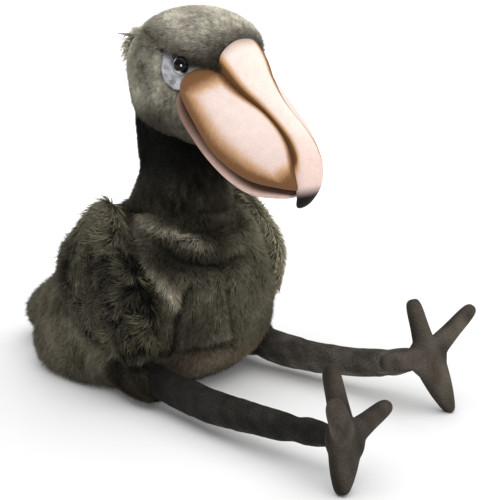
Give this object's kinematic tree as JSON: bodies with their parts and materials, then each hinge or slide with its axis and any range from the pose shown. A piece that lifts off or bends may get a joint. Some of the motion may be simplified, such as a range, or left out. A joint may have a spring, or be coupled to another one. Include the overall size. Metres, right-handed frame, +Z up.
{
  "type": "plush shoebill toy",
  "caption": "Sitting plush shoebill toy with a bean-bag fur body, shaggy wings, a padded velour bill with a hooked tip, and long soft legs with splayed feet.",
  "frame": {"origin": "on the floor under the middle of the seat, on the flat of the torso's underside", "axes": "+Z up, -Y the way the bird looks, +X the bird's own left"},
  "size_m": [0.2349, 0.4603, 0.3145],
  "materials": {
    "fur": "deep plush pile in grey-brown, paler at the tips",
    "bill_velour": "short velour, cream to pink with brown sprayed edges and a dark nail",
    "lower_bill_velour": "short velour in dull pink brown",
    "eye_patch": "short pale grey pile",
    "eye": "glossy black safety eye with a pale rim",
    "leg_velour": "dark grey-brown velour with a fine rib"
  },
  "bodies": {
    "root": {"head": "fur", "crown": "fur", "bill_ridge": "bill_velour", "bill_side_right": "bill_velour", "bill_side_left": "bill_velour", "bill_lower": "lower_bill_velour", "eye_patch_right": "eye_patch", "eye_patch_left": "eye_patch", "eye_right": "eye", "eye_left": "eye", "torso": "fur", "neck": "fur", "tail": "fur", "wing_right": "fur", "wing_left": "fur", "thigh_right": "fur", "thigh_left": "fur", "leg_right": "leg_velour", "leg_left": "leg_velour", "foot_right": "leg_velour", "foot_left": "leg_velour"}
  },
  "joints": []
}
